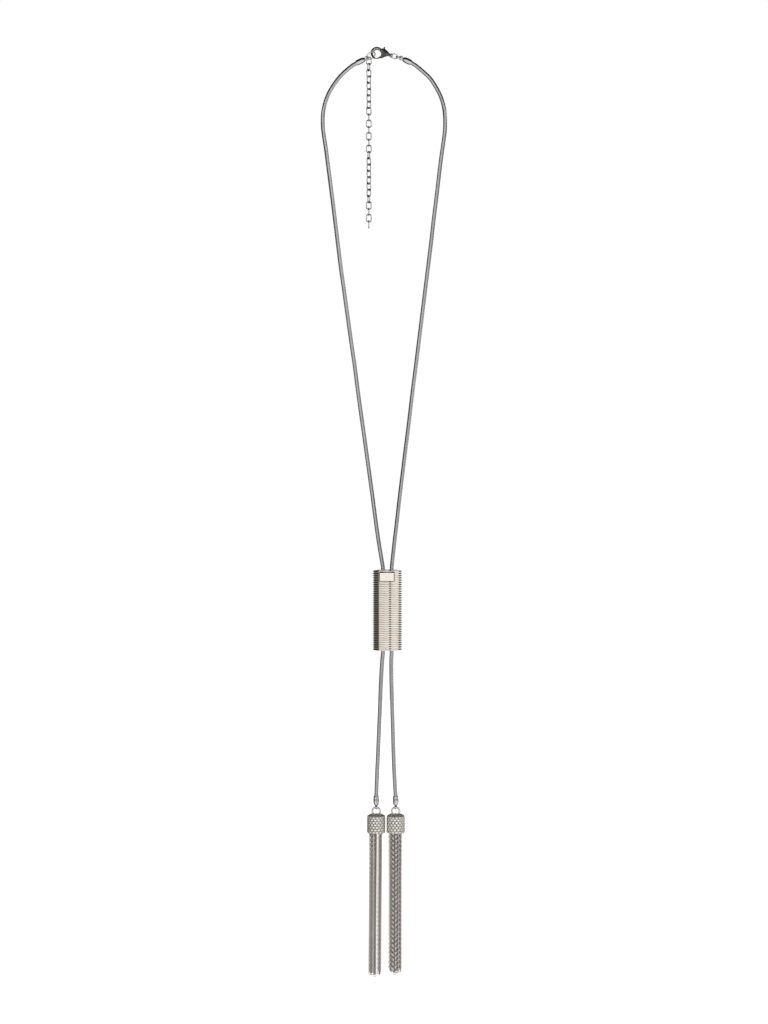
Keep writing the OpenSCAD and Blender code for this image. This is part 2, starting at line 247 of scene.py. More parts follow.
# Tassel strands, one row each, in millimetres from the middle of the cap: x, y,
# then which of its links comes first, its turn in degrees, and how far it ends above the longest
STRANDS = {
    "left": (
        (-0.35, -2.75, 0, 8, 0.0), (-2.15, -1.9, 1, -14, 0.4), (2.3, -1.75, 1, 10, 0.6),
        (-0.4, -0.9, 1, 35, 0.5), (-2.9, -0.1, 0, 15, 0.5), (1.75, -0.2, 0, -8, 0.8),
        (-0.45, 0.95, 0, -20, 0.6), (-2.5, 1.6, 1, 6, 0.4), (2.3, 1.5, 1, 12, 0.9),
        (-0.6, 2.75, 1, -14, 0.7), (-1.5, 0.2, 0, 20, 0.3),
    ),
    "right": (
        (2.35, -1.7, 0, 4, 0.7), (-0.55, -2.75, 1, -9, -0.5), (-2.3, -1.8, 0, 14, 0.7),
        (0.9, -1.2, 1, 28, 0.1), (-1.0, -0.9, 0, 12, 0.2), (-2.9, 0.0, 1, -10, 1.0),
        (2.6, 0.1, 1, -6, 0.9), (0.45, 0.7, 0, -20, 0.0), (-1.2, 0.9, 1, 25, 0.5),
        (-2.35, 1.75, 0, 8, 1.2), (-0.5, 2.75, 0, -12, 0.4), (1.5, 2.3, 0, 7, 0.7),
    ),
}

# Studio seen in the metal, from the floor up, as azimuth from the camera in degrees and
# brightness: low down, just below the level, level, just above it, and higher. The backdrop
# behind the necklace is bright.
FLOOR_PANELS = (
    (-180, 0.9), (-163, 0.9), (-156, 0.04), (-80, 0.04), (-68, 0.88), (-30, 1.0), (100, 1.0),
    (112, 0.15), (156, 0.15), (163, 0.9), (180, 0.9),
)
LOW_PANELS = (
    (-180, 0.9), (-163, 0.9), (-156, 0.02), (-36, 0.02), (-18, 0.3), (-4, 0.48), (8, 0.45),
    (18, 0.22), (70, 0.18), (98, 0.22), (115, 0.02), (156, 0.02), (163, 0.9), (180, 0.9),
)
LEVEL_PANELS = (
    (-180, 0.9), (-163, 0.9), (-156, 0.2), (-76, 0.2), (-69, 0.88), (-8, 0.88), (-3, 1.0),
    (4, 1.0), (8, 0.85), (13, 0.85), (16, 0.02), (31, 0.02), (36, 0.95), (180, 0.95),
)
RAISED_PANELS = (
    (-180, 0.9), (-163, 0.9), (-156, 0.02), (-42, 0.02), (-24, 0.8), (-8, 1.0), (24, 1.0),
    (40, 0.22), (88, 0.22), (100, 0.02), (156, 0.02), (163, 0.9), (180, 0.9),
)
UPPER_PANELS = (
    (-180, 0.9), (-163, 0.9), (-156, 0.02), (-76, 0.02), (-68, 0.88), (-12, 0.9), (0, 1.0),
    (100, 1.0), (110, 0.03), (156, 0.03), (163, 0.9), (180, 0.9),
)
# How much of each shows at each height, from straight down (0) to straight up (1)
LOW_SHARE = ((0.0, 0.0), (0.422, 0.0), (0.426, 1.0), (1.0, 1.0))
LEVEL_SHARE = ((0.0, 0.0), (0.448, 0.0), (0.456, 1.0), (1.0, 1.0))
RAISED_SHARE = ((0.0, 0.0), (0.493, 0.0), (0.501, 1.0), (1.0, 1.0))
UPPER_SHARE = ((0.0, 0.0), (0.596, 0.0), (0.606, 1.0), (1.0, 1.0))
# How bright the studio is at each height
STUDIO_HEIGHTS = (
    (0.0, 0.7), (0.1, 1.0), (0.3, 1.0), (0.655, 1.0), (0.672, 0.04), (1.0, 0.04),
)

# Width of the camera's sensor in millimetres
SENSOR_WIDTH = 36

# Plated metal: where its noise is darkest and lightest, the scale of its patches and of its
# scratches, its relief, and the roughness that the painted shade and patina marks add
NOISE_LOW = 0.3
NOISE_HIGH = 0.7
PATCH_SCALE = 400.0
WEAR_SCALE = 1600.0
RELIEF = 0.02
DULLNESS = 0.2


def metres(name, description, default):
    """A length in metres that a user can change."""
    return bpy.props.FloatProperty(
        name=name, description=description, default=default, unit="LENGTH", precision=5)


def plating(name, description, default):
    """A colour of the metal that a user can change."""
    return bpy.props.FloatVectorProperty(
        name=name, description=description, default=default, subtype="COLOR")


class ChainSizes(bpy.types.PropertyGroup):
    """Sizes of the snake chain and of the fine chain in the tassels."""

    snake_diameter: metres("Snake chain diameter", "Over its bands", 0.0021)
    snake_pitch: metres("Snake chain pitch", "From one band to the next", 0.0008)
    snake_groove: metres("Snake chain groove", "Depth of the groove between two bands", 0.00004)
    snake_wave: metres("Snake chain wave", "How far a band's edge waves along the chain", 0.00006)
    rolo_outer: metres("Tassel link", "Outer diameter of a round link in the tassels", 0.00216)
    rolo_wire: metres("Tassel link wire", "Wire of a round link in the tassels", 0.00048)
    rolo_pitch: metres("Tassel link pitch", "Drop from one round link to the next", 0.00122)
    bow: metres("Strand bow", "How far a tassel strand bows inwards on its way down", 0.00005)
    extender_wire: metres("Extender wire", "Wire of an extender link", 0.0006)
    extender_width: metres("Extender width", "Outer width of an extender link", 0.0031)
    extender_pitch: metres("Extender pitch", "Drop from one extender link to the next", 0.0033)
    extender_links: bpy.props.IntProperty(
        name="Extender links", description="Links that hang from the extender ring", default=27)


class SliderSizes(bpy.types.PropertyGroup):
    """Sizes of the ribbed slider and its plaque."""

    ribs: bpy.props.IntProperty(
        name="Ribs", description="Number of ribs round the slider", default=36)
    groove_depth: metres("Groove depth", "Depth of the groove between two ribs", 0.00062)
    groove_share: bpy.props.FloatProperty(
        name="Groove share", description="Share of the rib pitch that the groove takes",
        default=0.44, subtype="FACTOR", min=0.1, max=0.6)
    rib_edge: metres("Rib edge", "Radius of a rib's rounded edge", 0.00013)
    rib_ridge: metres("Rib ridge", "How far a rib's ridge stands over its edges", 0.000032)
    wall: metres("Wall", "Thickness of the tube", 0.0015)
    plate_recess: metres("End plate recess", "How far an end plate lies inside the rim", 0.0006)
    bore_radius: metres("Bore radius", "Holes that the chain runs through", 0.0012)
    plaque_size: bpy.props.FloatVectorProperty(
        name="Plaque", description="Width, depth and height of the plaque",
        default=(0.0081, 0.002, 0.0049), unit="LENGTH", precision=5)
    plaque_chamfer: metres(
        "Plaque chamfer", "Width of the chamfer round the plaque's front", 0.0004)
    plaque_shift: metres("Plaque shift", "From the slider's middle to the plaque's", -0.00025)
    plaque_drop: metres("Plaque drop", "From the slider's top to the plaque's", 0.0009)


class FindingSizes(bpy.types.PropertyGroup):
    """Sizes of the crimps, rings, caps and clasp."""

    ring_wire: metres("Ring wire", "Wire of the jump rings", 0.0006)
    crimp_sheet: metres("Crimp sheet", "Thickness of a crimp's folded sheet", 0.00035)
    loop_radius: metres("Crimp loop", "Radius of the middle of a crimp's loop", 0.001)
    hook_radius: metres("Hook radius", "Outer radius of the clasp's hook", 0.00325)
    hook_hole: metres("Hook hole", "Radius of the hole inside the hook", 0.0021)
    slot: metres("Lever slot", "Width of the slot for the clasp's lever", 0.001)
    lever: metres("Lever", "Thickness of the clasp's lever", 0.0008)
    cap_radius: metres("Cap radius", "Radius of a tassel cap under its grains", 0.00458)
    cap_height: metres("Cap height", "Height of a tassel cap", 0.0094)
    cap_shoulder: metres("Cap shoulder", "Radius of the cap's rounded shoulder", 0.0013)
    grain_radius: metres("Grain radius", "Radius of the dome of a grain", 0.0013)
    grain_spread: metres("Grain spread", "Half the width of a grain on the cap", 0.00092)
    grain_rows: bpy.props.IntProperty(
        name="Grain rows", description="Rows of grains from the shoulder to the rim", default=7)
    grain_proud: metres("Grain height", "How far a grain stands out of the cap", 0.00037)
    grains: bpy.props.IntProperty(
        name="Grains", description="Grains in each row round a cap", default=15)
    tassel_ring: bpy.props.FloatVectorProperty(
        name="Tassel ring", description="Radius of the ring's wire line, and the wire's radius",
        size=2, default=(0.00202, 0.00055), unit="LENGTH", precision=5)


class FinishColours(bpy.types.PropertyGroup):
    """Colours of the plated metal, and of its painted shade and patina."""

    bright: plating("Bright plating", "Colour of the polished plating", (0.86, 0.855, 0.85))
    crimp: plating("Crimp plating", "Colour of the crimps on the snake chain", (0.66, 0.655, 0.64))
    chain: plating("Chain plating", "Colour of the snake chain", (0.56, 0.555, 0.545))
    tassel: plating("Tassel plating", "Colour of the chain in the tassels", (0.93, 0.88, 0.82))
    warm: plating("Warm plating", "Colour of the slider", (0.93, 0.855, 0.765))
    grey: plating("Grey plating", "Colour of the clasp", (0.45, 0.43, 0.41))
    cap: plating("Cap plating", "Colour of the tassel caps", (1.0, 0.93, 0.865))
    painted_clasp_shade: plating(
        "Painted clasp shade", "Colour of the clasp where it is blackened", (0.028, 0.026, 0.024))
    shade_and_patina: plating("Painted shade and patina", "Colour deep in grooves and between grains", (0.07, 0.066, 0.062))


class StageSizes(bpy.types.PropertyGroup):
    """The floor and the camera."""

    floor_size: bpy.props.FloatProperty(
        name="Floor size", description="Side of the square floor", default=6.0, unit="LENGTH")
    floor_height: bpy.props.FloatProperty(
        name="Floor height", description="Height of the floor under the hanging necklace",
        default=-0.62, unit="LENGTH")
    camera_distance: bpy.props.FloatProperty(
        name="Camera distance", description="From the camera to the necklace",
        default=1.05, unit="LENGTH")
    camera_height: metres("Camera height", "Height of the camera", -0.23835)
    lens: bpy.props.FloatProperty(
        name="Lens", description="Focal length in millimetres", default=70.3)


def deselect():
    """Leaves edit mode, with nothing selected."""
    if bpy.context.mode != "OBJECT":
        bpy.ops.object.mode_set(mode="OBJECT")
    bpy.ops.object.select_all(action="DESELECT")


def choose(*pieces):
    """Selects these pieces alone; the last is the active one."""
    deselect()
    for piece in pieces:
        piece.select_set(True)
    bpy.context.view_layer.objects.active = pieces[-1]


def edit(piece):
    """Opens a piece in edit mode with all of it selected."""
    choose(piece)
    bpy.ops.object.mode_set(mode="EDIT")
    bpy.ops.mesh.select_mode(type="VERT")
    bpy.ops.mesh.select_all(action="SELECT")


def add(primitive, name, **how):
    """Adds a primitive and gives its place to its mesh."""
    deselect()
    primitive(**how)
    piece = bpy.context.object
    piece.name = name
    piece.data.name = name
    bpy.ops.object.transform_apply(location=True, rotation=True, scale=True)
    return piece


def select_points(piece, wanted):
    """Selects, in edit mode, the points whose place is wanted."""
    bpy.ops.mesh.select_all(action="DESELECT")
    bpy.ops.object.mode_set(mode="OBJECT")
    for vertex in piece.data.vertices:
        vertex.select = wanted(vertex.co)
    bpy.ops.object.mode_set(mode="EDIT")


def modify(piece, kind, **settings):
    """Adds a modifier, sets it and applies it."""
    choose(piece)
    bpy.ops.object.modifier_add(type=kind)
    modifier = piece.modifiers[-1]
    for name, value in settings.items():
        setattr(modifier, name, value)
    bpy.ops.object.modifier_apply(modifier=modifier.name)


def cut(piece, tool):
    """Cuts a tool solid away from a piece and deletes the tool."""
    modify(piece, "BOOLEAN", object=tool, operation="DIFFERENCE", solver="EXACT")
    bpy.data.objects.remove(tool)


def clean(piece):
    """Merges doubled points and turns every face outwards."""
    edit(piece)
    bpy.ops.mesh.remove_doubles(threshold=MERGE)
    bpy.ops.mesh.normals_make_consistent(inside=False)
    deselect()


def joined(name, parts):
    """Makes several parts one piece."""
    choose(*parts)
    bpy.ops.object.join()
    piece = bpy.context.object
    piece.name = name
    piece.data.name = name
    return piece


def copied(piece, name):
    """A copy of a piece with a mesh of its own."""
    copy = piece.copy()
    copy.data = piece.data.copy()
    copy.name = name
    bpy.context.collection.objects.link(copy)
    return copy


def place(piece, matrix):
    """Puts a piece in its place, and gives the place to its mesh."""
    piece.matrix_world = matrix
    choose(piece)
    bpy.ops.object.transform_apply(location=True, rotation=True, scale=True)


def drawn_line(name, points):
    """A line of edges, drawn through the points by extruding one vertex."""
    piece = add(bpy.ops.mesh.primitive_plane_add, name, size=MERGE, location=points[0])
    edit(piece)
    bpy.ops.mesh.merge(type="CENTER")
    for start, end in zip(points, points[1:]):
        step = Vector(end) - Vector(start)
        bpy.ops.mesh.extrude_region_move(TRANSFORM_OT_translate={"value": step})
    return piece


def turned(name, profile, centre, steps):
    """A solid turned about the upright through centre: its profile is rows of radius and height."""
    centre = Vector(centre)
    points = [centre + Vector((radius, 0, height)) for radius, height in profile]
    piece = drawn_line(name, points)
    bpy.ops.mesh.select_all(action="SELECT")
    bpy.ops.mesh.spin(steps=steps, angle=FULL_TURN, center=centre, axis=(0, 0, 1))
    clean(piece)
    return piece


def lofted(name, rows, sides):
    """A closed solid along x, through ellipses: rows of x, middle height, half height and half
    depth."""
    piece = add(bpy.ops.mesh.primitive_circle_add, name, vertices=sides, radius=1,
                fill_type="NGON", rotation=ALONG_X)
    edit(piece)
    x, middle, tall, deep = rows[0]
    bpy.ops.transform.resize(value=(1, deep, tall), center_override=(0, 0, 0))
    bpy.ops.transform.translate(value=(x, 0, middle))
    for before, row in zip(rows, rows[1:]):
        step = (row[0] - before[0], 0, row[1] - before[1])
        bpy.ops.mesh.extrude_region_move(TRANSFORM_OT_translate={"value": step})
        bpy.ops.transform.resize(
            value=(1, row[3] / before[3], row[2] / before[2]), center_override=(row[0], 0, row[1]))
    clean(piece)
    return piece


def route_curve(name, points):
    """A smooth curve through points, each handle a sixth of the way across its neighbours."""
    deselect()
    bpy.ops.curve.primitive_bezier_curve_add()
    curve = bpy.context.object
    curve.name = name
    spline = curve.data.splines[0]
    spline.bezier_points.add(len(points) - 2)
    last = len(points) - 1
    for i, bezier in enumerate(spline.bezier_points):
        point = Vector(points[i])
        reach = (Vector(points[min(i + 1, last)]) - Vector(points[max(i - 1, 0)])) / 6
        bezier.handle_left_type = "FREE"
        bezier.handle_right_type = "FREE"
        bezier.co = point
        bezier.handle_left = point - reach
        bezier.handle_right = point + reach
    curve.data.resolution_u = CURVE_STEPS
    return curve


def tube(name, rows, roundness, steps):
    """A closed round bar along a curve: rows of x, z and radius."""
    curve = route_curve(name, [(x, 0, z) for x, z, radius in rows])
    curve.data.resolution_u = steps
    curve.data.bevel_depth = 1
    curve.data.bevel_resolution = roundness
    curve.data.use_fill_caps = True
    for bezier, row in zip(curve.data.splines[0].bezier_points, rows):
        bezier.radius = row[2]
    choose(curve)
    bpy.ops.object.convert(target="MESH")
    piece = bpy.context.object
    piece.name = name
    clean(piece)
    return piece


def wire_ring(name, radius, wire, around, across=12):
    """A round ring of wire about y."""
    return add(bpy.ops.mesh.primitive_torus_add, name, major_radius=radius, minor_radius=wire,
               major_segments=around, minor_segments=across, rotation=ALONG_Y)


def pin(name, radius, depth, at, sides=24):
    """A round bar along y."""
    return add(bpy.ops.mesh.primitive_cylinder_add, name, vertices=sides, radius=radius,
               depth=depth, location=at, rotation=ALONG_Y)


def ball(name, radius, scale, at):
    """A ball, flattened or drawn out."""
    return add(bpy.ops.mesh.primitive_uv_sphere_add, name, segments=24, ring_count=12,
               radius=radius, scale=scale, location=at)


def strung(link, count, pitch, curve, weld=False):
    """Repeats a link made along x and bends the row along a curve, which is then deleted."""
    modify(link, "ARRAY", count=count, use_relative_offset=False, use_constant_offset=True,
           constant_offset_displace=(pitch, 0, 0), use_merge_vertices=weld, merge_threshold=MERGE)
    modify(link, "CURVE", object=curve, deform_axis="POS_X")
    bpy.data.objects.remove(curve)


def dressed(piece, body, material, nodes, angle=40):
    """Shades a finished piece, gives it its metal, and lets it ride for the nodes it stands for."""
    choose(piece)
    bpy.ops.object.shade_smooth_by_angle(angle=math.radians(angle))
    piece.data.materials.clear()
    piece.data.materials.append(material)
    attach(piece, body)
    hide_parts(*nodes)


def add_node(tree, kind, place_at, fed=None, **settings):
    """Adds a node, sets it, and gives its inputs their values or links them to other nodes."""
    node = tree.nodes.new(kind)
    node.location = place_at
    for name, value in settings.items():
        setattr(node, name, value)
    for name, value in (fed or {}).items():
        if isinstance(value, bpy.types.NodeSocket):
            tree.links.new(value, node.inputs[name])
        else:
            node.inputs[name].default_value = value
    return node


def mark_shade_and_patina(piece, depth_at):
    """Marks each point with painted shade and patina, up to 1, as depth_at gives it, where it is
    more than an older mark."""
    marks = piece.data.attributes.get("shade_and_patina")
    if marks is None:
        marks = piece.data.attributes.new("shade_and_patina", "FLOAT", "POINT")
    for vertex, mark in zip(piece.data.vertices, marks.data):
        mark.value = min(1.0, max(mark.value, depth_at(vertex.co)))


def metal(name, colour, roughness, shade_and_patina_colour=None, metallic=1.0):
    """Plated metal with faint patches and fine scratches, darker and rougher where painted shade
    and patina are marked.
    """
    material = bpy.data.materials.new(name)
    material.use_nodes = True
    tree = material.node_tree
    tree.nodes.clear()
    coords = add_node(tree, "ShaderNodeTexCoord", (-900, 0))
    patches = add_node(tree, "ShaderNodeTexNoise", (-600, 200), {
        "Vector": coords.outputs["Object"], "Scale": PATCH_SCALE, "Detail": 4.0})
    tint = add_node(tree, "ShaderNodeValToRGB", (-300, 200), {"Fac": patches.outputs["Fac"]})
    fill_ramp(tint.color_ramp, ((NOISE_LOW, [c * 0.92 for c in colour]),
                                (NOISE_HIGH, [min(1, c * 1.04) for c in colour])))
    shade = tint.outputs["Color"]
    wear = add_node(tree, "ShaderNodeTexNoise", (-600, -100), {
        "Vector": coords.outputs["Object"], "Scale": WEAR_SCALE, "Detail": 6.0})
    rough = add_node(tree, "ShaderNodeMapRange", (-300, -100), {
        "Value": wear.outputs["Fac"], "From Min": NOISE_LOW, "From Max": NOISE_HIGH,
        "To Min": roughness * 0.75, "To Max": roughness * 1.3})
    roughened = rough.outputs["Result"]
    # Painted shade and patina: marked points are mixed towards their colour and roughened
    if shade_and_patina_colour:
        depth = add_node(tree, "ShaderNodeAttribute", (-600, 500), attribute_name="shade_and_patina")
        uneven = add_node(tree, "ShaderNodeMapRange", (-300, 450), {
            "Value": patches.outputs["Fac"], "From Min": NOISE_LOW, "From Max": NOISE_HIGH,
            "To Min": 0.75, "To Max": 1.0})
        amount = add_node(tree, "ShaderNodeMath", (-100, 500), {
            0: depth.outputs["Fac"], 1: uneven.outputs["Result"]}, operation="MULTIPLY")
        mix = add_node(tree, "ShaderNodeMix", (150, 250), {
            "Factor": amount.outputs[0], 6: shade, 7: (*shade_and_patina_colour, 1)}, data_type="RGBA")
        shade = mix.outputs[2]
        matt = add_node(tree, "ShaderNodeMath", (150, -50), {
            0: amount.outputs[0], 1: DULLNESS, 2: roughened}, operation="MULTIPLY_ADD")
        roughened = matt.outputs[0]
    bump = add_node(tree, "ShaderNodeBump", (300, -300), {
        "Height": wear.outputs["Fac"], "Strength": RELIEF, "Distance": 0.0001})
    surface = add_node(tree, "ShaderNodeBsdfPrincipled", (600, 0), {
        "Base Color": shade, "Roughness": roughened, "Metallic": metallic,
        "Normal": bump.outputs["Normal"]})
    add_node(tree, "ShaderNodeOutputMaterial", (900, 0), {"Surface": surface.outputs["BSDF"]})
    return material


def snake_link(sizes):
    """One band of the snake chain along x, flat with waving edges, and its groove marked with
    patina and painted shade.
    """
    radius = sizes.snake_diameter / 2
    half = sizes.snake_pitch / 2
    rim = radius - sizes.snake_groove
    shoulder = radius * BAND_SHOULDER
    steps = ((-half, rim), (-half * BAND_SLOPE, shoulder), (-half * BAND_FLAT, radius),
             (half * BAND_FLAT, radius), (half * BAND_SLOPE, shoulder), (half, rim))
    link = add(bpy.ops.mesh.primitive_circle_add, "snake_link", vertices=SNAKE_SIDES, radius=rim,
               fill_type="NOTHING", location=(-half, 0, 0), rotation=ALONG_X)
    edit(link)
    for before, row in zip(steps, steps[1:]):
        bpy.ops.mesh.extrude_region_move(
            TRANSFORM_OT_translate={"value": (row[0] - before[0], 0, 0)})
        grow = row[1] / before[1]
        bpy.ops.transform.resize(value=(1, grow, grow), center_override=(row[0], 0, 0))
    wave = sorted({round(math.cos(2 * FULL_TURN * k / SNAKE_SIDES), 6)
                   for k in range(SNAKE_SIDES)})
    for lift in wave:
        select_points(link, lambda co: abs(
            math.cos(2 * math.atan2(co.z, co.y)) - lift) < 0.01)
        bpy.ops.transform.translate(value=(lift * sizes.snake_wave, 0, 0))
    deselect()
    # Patina and painted shade, darkest at the bottom of the groove and none from the shoulder out
    mark_shade_and_patina(link, lambda co: SNAKE_SHADE_AND_PATINA * (
        shoulder - math.hypot(co.y, co.z)) / (shoulder - rim))
    return link


class NECKLACE_OT_snake_chains(bpy.types.Operator):
    """Model the two strands of round snake chain along their routes"""

    bl_idname = "necklace.snake_chains"
    bl_label = "Snake chains"

    def execute(self, context):
        sizes = context.scene.necklace_chains
        colours = context.scene.necklace_colours
        finish = metal("snake_chain_plating", colours.chain, 0.08, colours.shade_and_patina)
        for side, route in (("left", LEFT_ROUTE), ("right", RIGHT_ROUTE)):
            curve = route_curve(f"route_{side}", [(x, 0, z) for x, z in route])
            length = curve.data.splines[0].calc_length()
            count = round(length / sizes.snake_pitch)
            strand = snake_link(sizes)
            strand.name = f"snake_strand_{side}"
            strung(strand, count, length / count, curve, weld=True)
            edit(strand)
            bpy.ops.mesh.select_all(action="DESELECT")
            bpy.ops.mesh.select_non_manifold()
            bpy.ops.mesh.fill()
            clean(strand)
            dressed(strand, "root", finish, [f"snake_chain_{side}"], angle=60)
        return {"FINISHED"}


def rib_profile(sizes, radius, height):
    """The slider's outer line from its bottom up: each rib rises to a low ridge and falls."""
    pitch = height / sizes.ribs
    groove = pitch * sizes.groove_share / 2
    low = radius - sizes.groove_depth
    shoulder = radius - sizes.rib_ridge
    edge = sizes.rib_edge
    rows = []
    for i in range(sizes.ribs):
        start = -height + i * pitch + groove
        end = start + pitch - 2 * groove
        rows += [(low, start - groove), (low, start), (shoulder - edge, start)]
        for turn in (30, 60, 90):
            a = math.radians(turn)
            rows.append((shoulder - edge + edge * math.sin(a), start + edge * (1 - math.cos(a))))
        rows.append((radius, (start + end) / 2))
        for turn in (90, 60, 30, 0):
            a = math.radians(turn)
            rows.append((shoulder - edge + edge * math.sin(a), end - edge * (1 - math.cos(a))))
        rows.append((low, end))
    return rows + [(low, 0)]


class NECKLACE_OT_slider(bpy.types.Operator):
    """Turn the ribbed slider tube, drill it for the two strands and solder its plaque on"""

    bl_idname = "necklace.slider"
    bl_label = "Slider"

    def execute(self, context):
        sizes = context.scene.necklace_slider
        colours = context.scene.necklace_colours
        radius = (SLIDER_HIGH.x - SLIDER_LOW.x) / 2
        height = SLIDER_HIGH.z - SLIDER_LOW.z
        middle = (SLIDER_LOW.x + SLIDER_HIGH.x) / 2
        top = Vector((middle, 0, SLIDER_HIGH.z))
        inner = radius - sizes.wall
        upper = -sizes.plate_recess
        lower = -height + sizes.plate_recess
        profile = [(0, lower), (inner, lower), (inner, -height + RIM_CUT),
                   (inner + RIM_CUT, -height)]
        profile += rib_profile(sizes, radius, height)
        profile += [(inner + RIM_CUT, 0), (inner, -RIM_CUT), (inner, upper), (0, upper)]
        tube_body = turned("slider_tube", profile, top, SLIDER_STEPS)
        for bore in (LEFT_BORE, RIGHT_BORE):
            drill = add(bpy.ops.mesh.primitive_cylinder_add, "drill", vertices=32,
                        radius=sizes.bore_radius, depth=height * 1.2,
                        location=(bore, 0, SLIDER_HIGH.z - height / 2))
            cut(tube_body, drill)
        clean(tube_body)
        low = radius - sizes.groove_depth

        # Patina and painted shade on the groove floors, fading out up the ribs' sides; none inside
        # the tube
        def in_groove(co):
            away = math.hypot(co.x - middle, co.y)
            if away < low - MERGE:
                return 0.0
            return SLIDER_SHADE_AND_PATINA * (low + SLIDER_FADE - away) / SLIDER_FADE

        mark_shade_and_patina(tube_body, in_groove)
        finish = metal("slider_plating", colours.warm, 0.06, colours.shade_and_patina)
        dressed(tube_body, "root", finish, ["slider"], angle=12)
        self.plaque(sizes, colours, middle)
        return {"FINISHED"}

    def plaque(self, sizes, colours, middle):
        """The flat plate: its chamfered sides are painted dark where it is soldered on, for the
        solder line and the painted shadow in that joint.
        """
        width, deep, tall = sizes.plaque_size
        front = SLIDER_LOW.y
        centre_x = middle + sizes.plaque_shift
        plaque = add(bpy.ops.mesh.primitive_cube_add, "plaque", size=1, scale=(width, deep, tall),
                     location=(centre_x, front + deep / 2,
                               SLIDER_HIGH.z - sizes.plaque_drop - tall / 2))
        edit(plaque)
        select_points(plaque, lambda co: co.y < front + MERGE)
        bpy.ops.mesh.select_mode(type="FACE")
        bpy.ops.mesh.inset(thickness=sizes.plaque_chamfer)
        corner = (width - sizes.plaque_chamfer) / 2
        edit(plaque)
        select_points(plaque, lambda co: co.y < front + MERGE and abs(co.x - centre_x) > corner)
        bpy.ops.transform.translate(value=(0, sizes.plaque_chamfer * PLAQUE_SLOPE, 0))
        clean(plaque)
        modify(plaque, "BEVEL", width=FINE_BEVEL, segments=2, limit_method="ANGLE",
               angle_limit=math.radians(20))
        # Painted shadow and solder line: dark on the chamfered sides and back, none on the front
        # face
        mark_shade_and_patina(plaque, lambda co: (co.y - front) / PLAQUE_FADE - 1)
        finish = metal("plaque_plating", colours.warm, 0.06, colours.shade_and_patina)
        dressed(plaque, "root", finish, ["slider"], angle=10)


def crimp(name, sizes, seam, slant):
    """A crimp along x with its loop's middle at the origin: a sheet wrapped to a slanting seam."""
    first, last = CRIMP_PROFILE[0][0], CRIMP_PROFILE[-1][0]
    points = []
    for along, radius in CRIMP_PROFILE:
        share = (along - first) / (last - first) - 0.5
        a = math.radians(seam + slant * share)
        points.append((along, -radius * math.cos(a), radius * math.sin(a)))
    barrel = drawn_line(name, points)
    bpy.ops.mesh.select_all(action="SELECT")
    bpy.ops.mesh.spin(steps=CRIMP_STEPS, angle=math.radians(360 - SEAM_GAP), center=(0, 0, 0),
                      axis=(1, 0, 0))
    clean(barrel)
    modify(barrel, "SOLIDIFY", thickness=sizes.crimp_sheet, offset=-1)
    modify(barrel, "BEVEL", width=FINE_BEVEL, segments=2, limit_method="ANGLE",
           angle_limit=math.radians(50))
    neck = lofted("neck", CRIMP_NECK, 24)
    loop = wire_ring("loop", sizes.loop_radius, LOOP_WIRE, 40)
    place(loop, Matrix.Diagonal((1, 2, 1, 1)))
    modify(loop, "SIMPLE_DEFORM", deform_method="TAPER", deform_axis="X", factor=LOOP_TAPER,
           lock_z=True)
    return joined(name, [neck, loop, barrel])


class NECKLACE_OT_crimps(bpy.types.Operator):
    """Fold the four crimp ends and put them on the strands"""

    bl_idname = "necklace.crimps"
    bl_label = "Crimp ends"

    def execute(self, context):
        sizes = context.scene.necklace_findings
        colours = context.scene.necklace_colours
        finish = metal("crimp_plating", colours.crimp, 0.1)
        for node, at, turn, roll, seam, slant in CRIMPS:
            piece = crimp(f"{node}_folded", sizes, seam, slant)
            swing = Matrix.Rotation(math.radians(turn), 4, "Y")
            spin = Matrix.Rotation(math.radians(roll), 4, "Z")
            place(piece, Matrix.Translation(at) @ spin @ swing)
            dressed(piece, "root", finish, [node])
        return {"FINISHED"}


class NECKLACE_OT_rings(bpy.types.Operator):
    """Close the three jump rings"""

    bl_idname = "necklace.rings"
    bl_label = "Jump rings"

    def execute(self, context):
        sizes = context.scene.necklace_findings
        colours = context.scene.necklace_colours
        finish = metal("ring_plating", colours.bright, 0.12)
        for node, at, radius, tilt, roll in RINGS:
            ring = wire_ring(f"{node}_wire", radius, sizes.ring_wire / 2, 64, 16)
            saw = add(bpy.ops.mesh.primitive_cube_add, "saw", size=1, scale=SAW,
                      location=(0, 0, -radius))
            cut(ring, saw)
            lean = Matrix.Rotation(math.radians(-tilt), 4, "Y")
            twist = Matrix.Rotation(math.radians(roll), 4, "X")
            place(ring, Matrix.Translation(at) @ lean @ twist)
            dressed(ring, "root", finish, [node])
        return {"FINISHED"}


def twist_at(link):
    """Twist of the extender chain at a link, between the marks on each side of it."""
    for (start, low), (end, high) in zip(TWIST_MARKS, TWIST_MARKS[1:]):
        if start <= link <= end:
            return low + (high - low) * (link - start) / (end - start)
    return TWIST_MARKS[-1][1]


